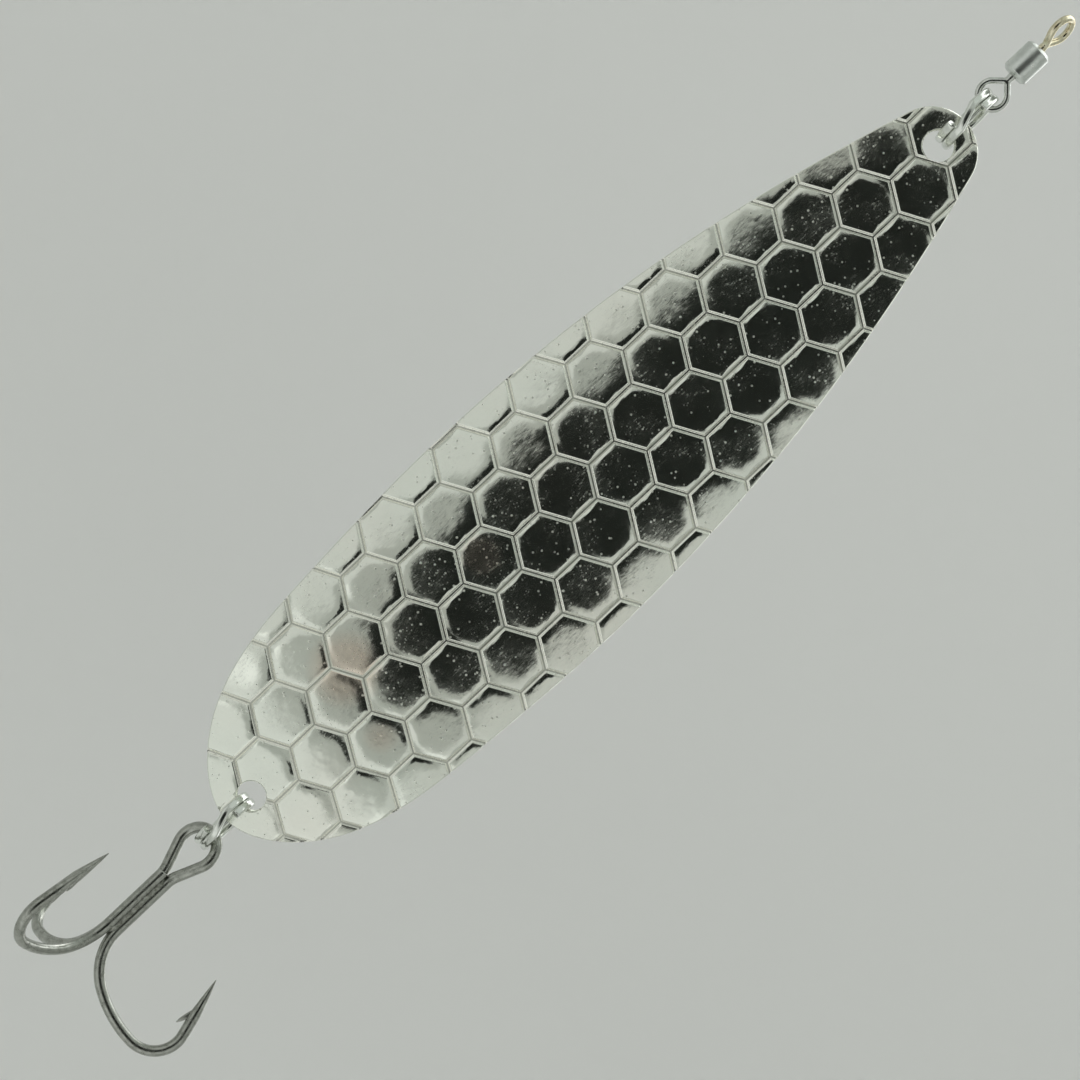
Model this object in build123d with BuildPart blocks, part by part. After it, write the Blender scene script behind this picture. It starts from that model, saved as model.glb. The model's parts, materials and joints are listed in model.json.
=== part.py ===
from build123d import *
from math import asin, cos, degrees, radians, sin, sqrt
import os

# Spoon lure that hangs by its line eye: rolling swivel, split ring, stamped blade,
# second split ring and a brazed treble hook.
#
# Frame: the origin is the centre of the line eye's opening. +Z runs up the lure towards
# the line, +X runs across the blade, and the blade's crowned outer face looks towards -Y.
# Everything below the line eye is placed by hanging each link from the one above it.

os.makedirs("parts", exist_ok=True)

# ---------------------------------------------------------------------------
# Driving dimensions, millimetres and degrees
# ---------------------------------------------------------------------------

# Swivel: two wire loops whose headed shanks turn inside a swaged sleeve
loop_wire = 0.92
loop_radius = 2.0
line_loop_turn = 65
neck_diameter = 1.2
neck_length = 1.0
barrel_diameter = 4.0
barrel_length = 5.2
barrel_end_wall = 0.9
barrel_chamfer = 0.45
cavity_diameter = 2.9
head_diameter = 2.4
head_length = 1.1
turning_clearance = 0.04

# Split rings: flattened wire wound in two coils that lie side by side
nose_ring_radius = 4.38
nose_wire_radial = 1.45
nose_wire_axial = 1.2
tail_ring_radius = 4.25
tail_wire_radial = 1.3
tail_wire_axial = 1.14
wire_edge_share = 0.48
coil_gap = 0.06
coil_sweep = 308
jog_sweep = 45
jog_start = 160
jog_steps = 4
ring_turn = 4
loop_clearance = 0.12
hole_clearance = 0.2

# Blade: a stamped sheet, cupped across its width and bent back at both ends
blade_length = 139.7
blade_width = 35.9
blade_thickness = 1.1
cup_radius = 55.0
tail_bend_length = 50.0
tail_bend_radius = 170.0
nose_bend_length = 30.0
nose_bend_radius = 300.0
nose_radius = 6.4
nose_lean = 15.6
nose_hole_diameter = 4.34
nose_hole_inset = 5.15
tail_hole_diameter = 4.2
tail_hole_inset = 5.06
hole_rim_radius = 0.25
tail_pivot_depth = 1.0

# Side of the blade: shares of its length above the tail, and of its half width
side_shape = [
    (0.026, 0.425),
    (0.105, 0.800),
    (0.222, 0.937),
    (0.400, 1.000),
    (0.540, 0.960),
    (0.673, 0.849),
    (0.830, 0.617),
]

# Treble hook: a double hook that is one wire, and a single hook brazed to it
hook_wire = 1.6
shank_gap = 0.1
hook_eye_radius = 3.0
hook_eye_spread = 24
hook_neck_radius = 4.0
shank_length = 9.2
single_shank_extra = 0.9
throat_radius = 8.3
throat_turn = 61
belly_radius = 16.5
heel_radius = 4.6
point_lean = 15.5
point_leg_length = 3.1
point_taper_length = 5.7
point_tip_radius = 0.06
barb_root_length = 1.8
barb_length = 3.0
barb_height = 0.95
barb_width = 0.7
right_hook_azimuth = 0
hook_spacing = 120
braze_fill = 0.55
braze_radius = 1.35
braze_overrun = 1.6
hook_eye_clearance = 0.26

# ---------------------------------------------------------------------------
# Helpers
# ---------------------------------------------------------------------------


def coil_pitch(wire_axial):
    """Distance between the middles of a ring's two coils."""
    return wire_axial + coil_gap


def seat_offset(opening_radius, wire_radial, wire_axial, clearance, skew=0):
    """How far off the centre of a round opening a ring's pair of coils comes to rest.

    The pair is wider than one coil, so it stops against the curve of the opening at its
    two rounded outer corners. Skew is the angle at which the pair crosses the opening.
    """
    corner = wire_edge_share * wire_axial
    corner_across = (coil_pitch(wire_axial) / 2 + wire_axial / 2 - corner) / cos(radians(skew))
    reach = opening_radius - clearance - corner
    return sqrt(reach**2 - corner_across**2) - (wire_radial / 2 - corner)


def ring_section_plane(ring_frame, mean_radius, angle, shift):
    """Plane that cuts a ring's wire square at an angle round the ring's own X axis."""
    turn = radians(angle)
    outward = ring_frame.y_dir * cos(turn) + ring_frame.z_dir * sin(turn)
    forward = ring_frame.z_dir * cos(turn) - ring_frame.y_dir * sin(turn)
    middle = ring_frame.origin + outward * mean_radius + ring_frame.x_dir * shift
    return Plane(origin=middle, x_dir=ring_frame.x_dir, z_dir=forward)


def split_ring(label, ring_frame, mean_radius, wire_radial, wire_axial):
    """Two coils side by side, joined by a jog where the wire steps from one to the other."""
    half_pitch = coil_pitch(wire_axial) / 2
    ring_axis = Axis(ring_frame.origin, ring_frame.x_dir)
    corner = wire_edge_share * wire_axial
    jog_end = jog_start + jog_sweep
    first_start = jog_start - coil_sweep
    with BuildPart() as ring:
        with BuildSketch(ring_section_plane(ring_frame, mean_radius, first_start, -half_pitch)):
            RectangleRounded(wire_axial, wire_radial, corner)
        revolve(axis=ring_axis, revolution_arc=coil_sweep)
        with BuildSketch(ring_section_plane(ring_frame, mean_radius, jog_end, half_pitch)):
            RectangleRounded(wire_axial, wire_radial, corner)
        revolve(axis=ring_axis, revolution_arc=coil_sweep)
        for step in range(jog_steps):
            for end in (step, step + 1):
                share = end / jog_steps
                angle = jog_start + share * jog_sweep
                shift = (2 * share - 1) * half_pitch
                with BuildSketch(ring_section_plane(ring_frame, mean_radius, angle, shift)):
                    RectangleRounded(wire_axial, wire_radial, corner)
            loft(ruled=True)
    ring.part.label = label
    return ring.part


def upright_plane(origin, azimuth):
    """Plane whose x runs level at an azimuth about Z and whose y runs up."""
    turn = radians(azimuth)
    return Plane(origin=origin, x_dir=(cos(turn), sin(turn), 0), z_dir=(sin(turn), -cos(turn), 0))


def level_direction(azimuth):
    """Unit vector that lies level at an azimuth about Z."""
    return Vector(cos(radians(azimuth)), sin(radians(azimuth)), 0)


def swivel_loop(label, centre_z, side, turn):
    """Wire loop with a headed shank that runs down (side -1) or up (side 1) into the barrel."""
    apex = side * loop_apex
    tangent = loop_radius / sqrt(2)
    leg_start = loop_wire / 4
    head_base = apex + side * (neck_length + barrel_end_wall + turning_clearance)
    neck_start = apex - side * loop_wire / 2
    with BuildPart() as loop:
        with BuildLine(upright_plane((0, 0, centre_z), turn)) as wire_path:
            Line((leg_start, apex - side * leg_start), (tangent, side * tangent))
            ThreePointArc(
                (tangent, side * tangent), (0, -side * loop_radius), (-tangent, side * tangent)
            )
            Line((-tangent, side * tangent), (-leg_start, apex - side * leg_start))
        with BuildSketch(Plane(origin=wire_path.line @ 0, z_dir=wire_path.line % 0)):
            Circle(loop_wire / 2)
        sweep(path=wire_path.wires()[0])
        with BuildSketch(Plane(origin=(0, 0, centre_z + neck_start), z_dir=(0, 0, side))):
            Circle(neck_diameter / 2)
        extrude(amount=abs(head_base - neck_start))
        with BuildSketch(Plane(origin=(0, 0, centre_z + head_base), z_dir=(0, 0, side))):
            Circle(head_diameter / 2)
        extrude(amount=head_length)
    loop.part.label = label
    return loop.part


# ---------------------------------------------------------------------------
# Places, each worked out from the link above
# ---------------------------------------------------------------------------

loop_apex = loop_radius * sqrt(2)
loop_opening = loop_radius - loop_wire / 2

line_loop_z = 0.0
barrel_top_z = line_loop_z - loop_apex - neck_length
barrel_bottom_z = barrel_top_z - barrel_length
lure_loop_z = barrel_bottom_z - neck_length - loop_apex

nose_ring_top_z = lure_loop_z - seat_offset(
    loop_opening, nose_wire_radial, nose_wire_axial, loop_clearance, ring_turn
)
nose_ring_z = nose_ring_top_z - nose_ring_radius
nose_hole_z = nose_ring_z - nose_ring_radius - seat_offset(
    nose_hole_diameter / 2, nose_wire_radial, nose_wire_axial, hole_clearance, ring_turn
)

nose_end_z = nose_hole_z + nose_hole_inset
tail_end_z = nose_end_z - blade_length
tail_hole_z = tail_end_z + tail_hole_inset
nose_bend_z = nose_end_z - nose_bend_length
tail_bend_z = tail_end_z + tail_bend_length

nose_hole_tilt = degrees(asin((nose_hole_z - nose_bend_z) / nose_bend_radius))
tail_hole_tilt = degrees(asin((tail_bend_z - tail_hole_z) / tail_bend_radius))
blade_y = -nose_bend_radius * (1 - cos(radians(nose_hole_tilt)))
tail_hole_y = blade_y + tail_bend_radius * (1 - cos(radians(tail_hole_tilt)))
nose_hole_centre = Vector(0, 0, nose_hole_z)
tail_hole_centre = Vector(0, tail_hole_y, tail_hole_z)
nose_hole_normal = Vector(0, -cos(radians(nose_hole_tilt)), sin(radians(nose_hole_tilt)))
tail_hole_normal = Vector(0, -cos(radians(tail_hole_tilt)), -sin(radians(tail_hole_tilt)))

tail_seat = seat_offset(
    tail_hole_diameter / 2, tail_wire_radial, tail_wire_axial, hole_clearance, ring_turn
)
tail_pivot_reach = tail_hole_diameter / 2 + tail_pivot_depth
tail_down = Vector(0, sin(radians(tail_hole_tilt)), -cos(radians(tail_hole_tilt)))
tail_pivot = tail_hole_centre + tail_down * tail_pivot_reach
tail_ring_hang = tail_seat + tail_ring_radius - tail_pivot_reach
tail_ring_centre = tail_pivot - Vector(0, 0, tail_ring_hang)

double_hook_azimuths = (right_hook_azimuth, right_hook_azimuth + hook_spacing)
single_hook_azimuth = right_hook_azimuth - hook_spacing
eye_facing_azimuth = right_hook_azimuth + hook_spacing / 2
eye_plane_azimuth = eye_facing_azimuth - 90
eye_skew = abs(90 - eye_facing_azimuth) - ring_turn
hook_eye_centre = tail_ring_centre - Vector(0, 0, tail_ring_radius + seat_offset(
    hook_eye_radius - hook_wire / 2, tail_wire_radial, tail_wire_axial, hook_eye_clearance, eye_skew
))
bundle_radius = (hook_wire + shank_gap) / sqrt(3)
treble_axis = hook_eye_centre - level_direction(eye_facing_azimuth) * bundle_radius / 2
shank_half_spacing = (hook_wire + shank_gap) / 2

spread = radians(hook_eye_spread)
eye_leg_length = (
    hook_eye_radius * cos(spread) - shank_half_spacing - hook_neck_radius * (1 - cos(spread))
) / sin(spread)
hook_neck_drop = (hook_eye_radius + hook_neck_radius) * sin(spread) + eye_leg_length * cos(spread)
hook_neck_z = hook_eye_centre.Z - hook_neck_drop
hook_bend_z = hook_neck_z - shank_length

# ---------------------------------------------------------------------------
# Swivel
# ---------------------------------------------------------------------------

line_eye = swivel_loop("line_eye", line_loop_z, -1, line_loop_turn)
lure_eye = swivel_loop("lure_eye", lure_loop_z, 1, 0)

# A sleeve, swaged in at both ends over the heads of the two shanks
with BuildPart() as swivel_barrel:
    with BuildSketch(Plane.XY.offset(barrel_bottom_z)):
        Circle(barrel_diameter / 2)
    extrude(amount=barrel_length)
    chamfer(swivel_barrel.edges().filter_by(GeomType.CIRCLE), barrel_chamfer)
    with BuildSketch(Plane.XY.offset(barrel_bottom_z + barrel_end_wall)):
        Circle(cavity_diameter / 2)
    extrude(amount=barrel_length - 2 * barrel_end_wall, mode=Mode.SUBTRACT)
    with BuildSketch(Plane.XY.offset(barrel_bottom_z)):
        Circle(neck_diameter / 2 + turning_clearance)
    extrude(amount=barrel_length, mode=Mode.SUBTRACT)
swivel_barrel.part.label = "swivel_barrel"

# ---------------------------------------------------------------------------
# Split rings
# ---------------------------------------------------------------------------

nose_ring_frame = Plane(
    origin=(0, 0, nose_ring_z), x_dir=level_direction(-ring_turn), z_dir=(0, 0, 1)
)
nose_split_ring = split_ring(
    "nose_split_ring", nose_ring_frame, nose_ring_radius, nose_wire_radial, nose_wire_axial
)
tail_ring_frame = Plane(
    origin=tail_ring_centre, x_dir=level_direction(-ring_turn), z_dir=(0, 0, 1)
)
tail_split_ring = split_ring(
    "tail_split_ring", tail_ring_frame, tail_ring_radius, tail_wire_radial, tail_wire_axial
)

# ---------------------------------------------------------------------------
# Blade
# ---------------------------------------------------------------------------

half_width = blade_width / 2
band_half_width = half_width + blade_thickness


def cupped_band(height):
    """Cross-section of the sheet: an arc of the cup, one thickness deep, at a height."""
    with BuildSketch(Plane.XY.offset(height)) as band:
        with Locations((0, blade_y + cup_radius)):
            Circle(cup_radius + blade_thickness / 2)
            Circle(cup_radius - blade_thickness / 2, mode=Mode.SUBTRACT)
        with Locations((0, blade_y)):
            Rectangle(2 * band_half_width, cup_radius, mode=Mode.INTERSECT)
    return band.sketch


with BuildPart() as spoon_blade:
    extrude(cupped_band(tail_bend_z), amount=nose_bend_z - tail_bend_z)
    revolve(
        cupped_band(tail_bend_z),
        axis=Axis((0, blade_y + tail_bend_radius, tail_bend_z), (1, 0, 0)),
        revolution_arc=degrees(asin((tail_bend_length + blade_thickness) / tail_bend_radius)),
    )
    revolve(
        cupped_band(nose_bend_z),
        axis=Axis((0, blade_y + nose_bend_radius, nose_bend_z), (-1, 0, 0)),
        revolution_arc=degrees(asin((nose_bend_length + blade_thickness) / nose_bend_radius)),
    )
    # The outline: a round nose on sides that swell to the widest place, and a blunter tail
    lean = radians(nose_lean)
    nose_tangent = (
        nose_radius * cos(lean), nose_end_z - nose_radius + nose_radius * sin(lean)
    )
    right_side = [
        (half_width * out, tail_end_z + blade_length * up) for up, out in side_shape
    ] + [nose_tangent]
    left_side = [(-across, up) for across, up in reversed(right_side)]
    with BuildSketch(Plane.XZ.offset(cup_radius)):
        with BuildLine():
            Spline(left_side + [(0, tail_end_z)] + right_side)
            ThreePointArc(right_side[-1], (0, nose_end_z), left_side[0])
        make_face()
    extrude(amount=-2 * cup_radius, mode=Mode.INTERSECT)
    # Both holes, with their rims rounded over on the two faces
    rim_start = blade_thickness / 2 - hole_rim_radius
    rim_corner = hole_rim_radius * sin(radians(45))
    for centre, normal, diameter in (
        (nose_hole_centre, nose_hole_normal, nose_hole_diameter),
        (tail_hole_centre, tail_hole_normal, tail_hole_diameter),
    ):
        wall = diameter / 2
        flare = wall + hole_rim_radius
        rim_plane = Plane(origin=centre, x_dir=(1, 0, 0), z_dir=Vector(1, 0, 0).cross(normal))
        with BuildSketch(rim_plane):
            with BuildLine():
                Line((wall, 0), (wall, rim_start))
                ThreePointArc(
                    (wall, rim_start),
                    (flare - rim_corner, rim_start + rim_corner),
                    (flare, blade_thickness / 2),
                )
                Polyline((flare, blade_thickness / 2), (flare, blade_thickness), (0, blade_thickness))
                mirror(about=Plane.XZ)
                Line((0, blade_thickness), (0, -blade_thickness))
            make_face()
        revolve(axis=Axis(centre, normal), mode=Mode.SUBTRACT)
spoon_blade.part.label = "spoon_blade"

# ---------------------------------------------------------------------------
# Treble hook
# ---------------------------------------------------------------------------


def hook_limb(azimuth, top_z):
    """One shank with its bend, its tapered point and its barb, in the plane of an azimuth."""
    plane = upright_plane((treble_axis.X, treble_axis.Y, 0), azimuth)
    with BuildPart() as limb:
        with BuildLine(plane) as wire_path:
            shank = Line((bundle_radius, top_z), (bundle_radius, hook_bend_z))
            throat = JernArc(shank @ 1, shank % 1, throat_radius, throat_turn)
            belly = JernArc(throat @ 1, throat % 1, belly_radius, 90 - throat_turn)
            heel = JernArc(belly @ 1, belly % 1, heel_radius, 90 + point_lean)
            Line(heel @ 1, (heel @ 1) + (heel % 1) * point_leg_length)
        with BuildSketch(Plane(origin=shank @ 0, z_dir=shank % 0)):
            Circle(hook_wire / 2)
        sweep(path=wire_path.wires()[0])
        leg_end = (heel @ 1) + (heel % 1) * point_leg_length
        inward = (heel % 1).cross(plane.z_dir) * -1
        leg_plane = Plane(origin=leg_end, x_dir=inward, z_dir=heel % 1)
        with Locations(leg_plane):
            Cone(
                hook_wire / 2,
                point_tip_radius,
                point_taper_length,
                align=(Align.CENTER, Align.CENTER, Align.MIN),
            )
        # The barb: a sliver raised from the inner side of the wire, pointing back
        barb_plane = Plane(origin=leg_end, x_dir=inward, z_dir=plane.z_dir)
        along = 1 if barb_plane.y_dir.dot(heel % 1) > 0 else -1
        root = hook_wire / 4
        with BuildSketch(barb_plane):
            with BuildLine():
                Polyline(
                    (root, along * barb_root_length / 2),
                    (hook_wire / 2 + barb_height, -along * (barb_length - barb_root_length / 2)),
                    (root, -along * barb_root_length / 2),
                    close=True,
                )
            make_face()
        extrude(amount=barb_width / 2, both=True)
    return limb.part


def double_hook_eye():
    """The eye bent between the two shanks of the double hook."""
    stub = shank_gap
    plane = upright_plane(hook_eye_centre, eye_plane_azimuth)
    with BuildPart() as eye:
        with BuildLine(plane) as wire_path:
            start = Line(
                (shank_half_spacing, -hook_neck_drop - stub), (shank_half_spacing, -hook_neck_drop)
            )
            right_neck = JernArc(start @ 1, start % 1, hook_neck_radius, -hook_eye_spread)
            right_leg = Line(right_neck @ 1, (right_neck @ 1) + (right_neck % 1) * eye_leg_length)
            bow = JernArc(right_leg @ 1, right_leg % 1, hook_eye_radius, 180 + 2 * hook_eye_spread)
            left_leg = Line(bow @ 1, (bow @ 1) + (bow % 1) * eye_leg_length)
            left_neck = JernArc(left_leg @ 1, left_leg % 1, hook_neck_radius, -hook_eye_spread)
            Line(left_neck @ 1, (left_neck @ 1) + (left_neck % 1) * stub)
        with BuildSketch(Plane(origin=start @ 0, z_dir=start % 0)):
            Circle(hook_wire / 2)
        sweep(path=wire_path.wires()[0])
    return eye.part


double_limbs = [hook_limb(azimuth, hook_neck_z - shank_gap) for azimuth in double_hook_azimuths]
eye_part = double_hook_eye()
single_limb = hook_limb(single_hook_azimuth, hook_neck_z + single_shank_extra)

with BuildPart() as double_hook:
    add(eye_part)
    add(double_limbs)
double_hook.part.label = "double_hook"

with BuildPart() as single_hook:
    add(single_limb)
single_hook.part.label = "single_hook"

# Brazing metal that fills the valleys between the three shanks
with BuildPart() as braze_joint:
    braze_plane = Plane(
        origin=(treble_axis.X, treble_axis.Y, hook_bend_z - braze_overrun),
        x_dir=level_direction(right_hook_azimuth),
        z_dir=(0, 0, 1),
    )
    with BuildSketch(braze_plane):
        RegularPolygon(bundle_radius / 2 + braze_fill, 3, major_radius=False)
        Circle(braze_radius, mode=Mode.INTERSECT)
    extrude(amount=braze_overrun + shank_length)
    add(double_hook.part, mode=Mode.SUBTRACT)
    add(single_hook.part, mode=Mode.SUBTRACT)
braze_joint.part.label = "braze_joint"

# ---------------------------------------------------------------------------
# One STEP file for each piece
# ---------------------------------------------------------------------------

pieces = [
    line_eye,
    swivel_barrel.part,
    lure_eye,
    nose_split_ring,
    spoon_blade.part,
    tail_split_ring,
    double_hook.part,
    single_hook.part,
    braze_joint.part,
]
for piece in pieces:
    export_step(piece, f"parts/{piece.label}.step")
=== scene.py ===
# %% [markdown]
# # A spoon lure with an embossed blade
#
# The lure hangs by the eye that takes the line: a rolling swivel, a split ring, a stamped
# and plated blade, a second split ring and a treble hook. The CAD model fixes where each
# piece is and how it moves. This notebook gives every piece the form and finish that the
# eye meets, and puts the lure in a small studio.

# %% Load the frame
import json
import random
from math import asin, cos, pi, radians, sin, sqrt

import bmesh
import bpy
from mathutils import Matrix, Vector
from mathutils.geometry import convex_hull_2d


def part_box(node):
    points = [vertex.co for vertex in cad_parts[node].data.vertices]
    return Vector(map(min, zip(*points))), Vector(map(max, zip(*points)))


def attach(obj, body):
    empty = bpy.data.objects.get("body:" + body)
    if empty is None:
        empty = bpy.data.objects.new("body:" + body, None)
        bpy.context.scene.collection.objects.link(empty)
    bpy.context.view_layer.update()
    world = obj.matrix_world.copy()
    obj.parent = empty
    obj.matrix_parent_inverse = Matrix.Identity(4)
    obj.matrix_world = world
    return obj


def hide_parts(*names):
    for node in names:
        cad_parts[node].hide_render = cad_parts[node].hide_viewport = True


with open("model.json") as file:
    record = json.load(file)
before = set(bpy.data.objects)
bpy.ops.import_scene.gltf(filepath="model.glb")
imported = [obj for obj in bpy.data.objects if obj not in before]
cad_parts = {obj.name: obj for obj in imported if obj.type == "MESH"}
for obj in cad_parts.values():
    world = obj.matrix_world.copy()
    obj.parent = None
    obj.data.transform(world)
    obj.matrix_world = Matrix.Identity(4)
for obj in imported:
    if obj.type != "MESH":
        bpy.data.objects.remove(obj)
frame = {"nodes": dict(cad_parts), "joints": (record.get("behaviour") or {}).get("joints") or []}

MM = 0.001
UP = Vector((0, 0, 1))
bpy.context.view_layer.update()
joints = {joint["name"]: joint for joint in frame["joints"]}
blade_low, blade_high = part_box("spoon_blade")

# %% [markdown]
# Three things are done to many forms, so each has a short function. A form is a bmesh, the
# shape that the operators work on, and it becomes an object when it is shown.


# %% Small helpers
def show(form, name):
    """Puts a form into the scene as an object of that name."""
    mesh = bpy.data.meshes.new(name)
    form.to_mesh(mesh)
    made = bpy.data.objects.new(name, mesh)
    bpy.context.scene.collection.objects.link(made)
    return made


def cap(form):
    """Fills every open end of a form."""
    ends = [edge for edge in form.edges if edge.is_boundary]
    bmesh.ops.holes_fill(form, edges=ends, sides=0)
    return ends


def soften(form, verts, passes, up=True):
    """Moves points towards the middle of their neighbours, a few times over."""
    for _ in range(passes):
        bmesh.ops.smooth_vert(
            form, verts=verts, factor=0.5, use_axis_x=True, use_axis_y=True, use_axis_z=up
        )


# %% [markdown]
# ## Camera
#
# The lure is long and thin, so it is shown across the diagonal of a square picture. Turning
# the camera about its own line of sight does that and leaves the lure hanging straight. A
# long lens keeps the outline free of perspective.

# %% Camera
CAMERA_DISTANCE = 760 * MM
FRAME_WIDTH = 147.7 * MM
SENSOR = 36.0
CAMERA_ABOVE_TAIL = 58 * MM
CAMERA_ACROSS = 1.7 * MM
CAMERA_ROLL = radians(46.6)

camera_data = bpy.data.cameras.new("camera")
camera_data.sensor_width = SENSOR
camera_data.lens = SENSOR * CAMERA_DISTANCE / FRAME_WIDTH
camera = bpy.data.objects.new("camera", camera_data)
bpy.context.scene.collection.objects.link(camera)
bpy.context.scene.camera = camera
picture_right = Vector((cos(CAMERA_ROLL), 0, sin(CAMERA_ROLL)))
picture_up = Vector((-sin(CAMERA_ROLL), 0, cos(CAMERA_ROLL)))
camera.matrix_world = Matrix.Translation(
    (CAMERA_ACROSS, -CAMERA_DISTANCE, blade_low.z + CAMERA_ABOVE_TAIL)
) @ Matrix((picture_right, picture_up, (0, -1, 0))).transposed().to_4x4()
print("lens, mm:", round(camera_data.lens, 1))

# %% [markdown]
# ## Shader sums
#
# A finish is a sum: a base value, plus a little noise, times a mask. Written with nodes
# that is a long list, so one small class wraps a socket and lets Python's own operators
# add the Math nodes. Every other node comes from its method `node`.


# %% The class that shader sums are written with
class Signal:
    """One output of a node tree, on which + - and * add Math nodes."""

    def __init__(self, tree, socket=None):
        self.tree = tree
        self.socket = socket

    def node(self, kind, settings=None, values=None, output=0):
        """Adds a node of any kind: its settings first, then its sockets' values or links."""
        made = self.tree.nodes.new("ShaderNode" + kind)
        for name, setting in (settings or {}).items():
            setattr(made, name, setting)
        for name, value in (values or {}).items():
            if isinstance(value, Signal):
                self.tree.links.new(value.socket, made.inputs[name])
            else:
                made.inputs[name].default_value = value
        return Signal(self.tree, made.outputs[output])

    def sum(self, operation, first, second):
        return self.node("Math", {"operation": operation}, {0: first, 1: second})

    def __add__(self, other):
        return self.sum("ADD", self, other)

    def __radd__(self, other):
        return self.sum("ADD", other, self)

    def __sub__(self, other):
        return self.sum("SUBTRACT", self, other)

    def __rsub__(self, other):
        return self.sum("SUBTRACT", other, self)

    def __mul__(self, other):
        return self.sum("MULTIPLY", self, other)

    def __rmul__(self, other):
        return self.sum("MULTIPLY", other, self)

    def ramp(self, low, high):
        """0 at low, 1 at high, straight between them."""
        return self.node("MapRange", {}, {"Value": self, "From Min": low, "From Max": high})

    def blend(self, first, second):
        """A colour that runs from first to second as this value runs from 0 to 1."""
        return self.node("Mix", {"data_type": "RGBA"}, {0: self, 6: first, 7: second}, 2)


def place(signal, stretch=(1, 1, 1), turn=(0, 0, 0)):
    """The point on the piece in metres, with a pattern's stretch and turn put on it."""
    point = signal.node("TexCoord", output="Object")
    return signal.node("Mapping", {}, {"Vector": point, "Scale": stretch, "Rotation": turn})


def grain(signal, size, detail=3.0, stretch=(1, 1, 1), turn=(0, 0, 0)):
    """Noise from 0 to 1 whose lumps are about the given size across."""
    values = {"Vector": place(signal, stretch, turn), "Scale": 1 / size, "Detail": detail}
    return signal.node("TexNoise", {}, values)


def dots(signal, spacing, solid, edge):
    """Round dots, 1 in the middle and 0 outside, with their sizes in shares of the spacing."""
    values = {"Vector": place(signal), "Scale": 1 / spacing}
    return 1 - signal.node("TexVoronoi", {}, values).ramp(solid, edge)


def surface(name, colour, roughness, metallic=1.0):
    """A plain material to start from, its shader and a signal that starts its sums."""
    material = bpy.data.materials.new(name)
    material.use_nodes = True
    shader = material.node_tree.nodes["Principled BSDF"]
    shader.inputs["Base Color"].default_value = (*colour, 1)
    shader.inputs["Metallic"].default_value = metallic
    shader.inputs["Roughness"].default_value = roughness
    return material, shader, Signal(material.node_tree)


def feed(shader, name, signal):
    """Links a finished sum to one of the shader's sockets."""
    signal.tree.links.new(signal.socket, shader.inputs[name])


def bumps(shader, height, depth):
    """Lets a height from 0 to 1 tilt the surface's normals, as relief of that depth."""
    relief = height.node("Bump", {}, {"Height": height, "Distance": depth, "Strength": 1.0})
    feed(shader, "Normal", relief)


# %% [markdown]
# ## Studio
#
# Bright metal shows what stands round it, so the studio is chosen for its reflections. A
# wide pale floor that curves up into a wall gives a plain ground from any side. Two large
# soft boxes stand on the left and low in front. A black card round the camera, which the
# camera itself doesn't see, is what makes the middle of the blade dark, as a dark room
# behind the camera does.

# %% Floor
FLOOR_DEPTH = 1.25
FLOOR_PALE = (0.82, 0.82, 0.81, 1)
FLOOR_GREY = (0.79, 0.79, 0.78, 1)
FLOOR_TURNS = 96
FLOOR_RADIUS = 2.4
WALL_HEIGHT = 2.6
CURVE_RADIUS = 1.0
CURVE_STEPS = 12

floor_form = bmesh.new()
middle = floor_form.verts.new((0, 0, -FLOOR_DEPTH))
foot = floor_form.verts.new((FLOOR_RADIUS - CURVE_RADIUS, 0, -FLOOR_DEPTH))
floor_form.edges.new((middle, foot))
curve = bmesh.ops.spin(
    floor_form, geom=[foot], cent=(foot.co.x, 0, CURVE_RADIUS - FLOOR_DEPTH), axis=(0, -1, 0),
    angle=radians(90), steps=CURVE_STEPS,
)
top = [part for part in curve["geom_last"] if isinstance(part, bmesh.types.BMVert)][0]
wall = bmesh.ops.extrude_vert_indiv(floor_form, verts=[top])
bmesh.ops.translate(floor_form, verts=wall["verts"], vec=(0, 0, WALL_HEIGHT))
bmesh.ops.spin(
    floor_form, geom=floor_form.verts[:] + floor_form.edges[:], cent=(0, 0, 0), axis=(0, 0, 1),
    angle=2 * pi, steps=FLOOR_TURNS, use_merge=True,
)
bmesh.ops.remove_doubles(floor_form, verts=floor_form.verts[:], dist=MM)
bmesh.ops.recalc_face_normals(floor_form, faces=floor_form.faces[:])
for face in floor_form.faces:
    face.smooth = True
floor = show(floor_form, "floor")
floor_material, floor_shader, floor_signal = surface(
    "floor_paper", FLOOR_GREY[:3], 0.9, metallic=0.0
)
feed(floor_shader, "Base Color", grain(floor_signal, 0.4).blend(FLOOR_GREY, FLOOR_PALE))
floor.data.materials.append(floor_material)
print("floor radius, m:", FLOOR_RADIUS, "at z", -FLOOR_DEPTH)

# %% [markdown]
# A soft box is a large lamp behind cloth, so it has no hard edge and no hot spot. The box on
# the left and the one low in front make the blade's tail and its left side bright, and the
# one on the right, which is weaker, gives the other edge its light line. The boxes above and
# behind pick out the wires. The last one washes the back wall, so that the ground is pale.

# %% Soft boxes and sky
LIGHT_AIM = Vector((0, 0, -90 * MM))
AIR_COLOUR = (0.93, 1.0, 0.93, 1)
AIR_STRENGTH = 0.6


def soft_box(name, stand, width, height, watts, aim=LIGHT_AIM):
    """A rectangle of soft light that faces the lure and is left out of the picture."""
    data = bpy.data.lights.new(name, "AREA")
    data.shape = "RECTANGLE"
    data.size = width
    data.size_y = height
    data.energy = watts
    light = bpy.data.objects.new(name, data)
    bpy.context.scene.collection.objects.link(light)
    light.location = stand
    light.rotation_euler = (Vector(aim) - Vector(stand)).to_track_quat("-Z", "Y").to_euler()
    light.visible_camera = False


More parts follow.
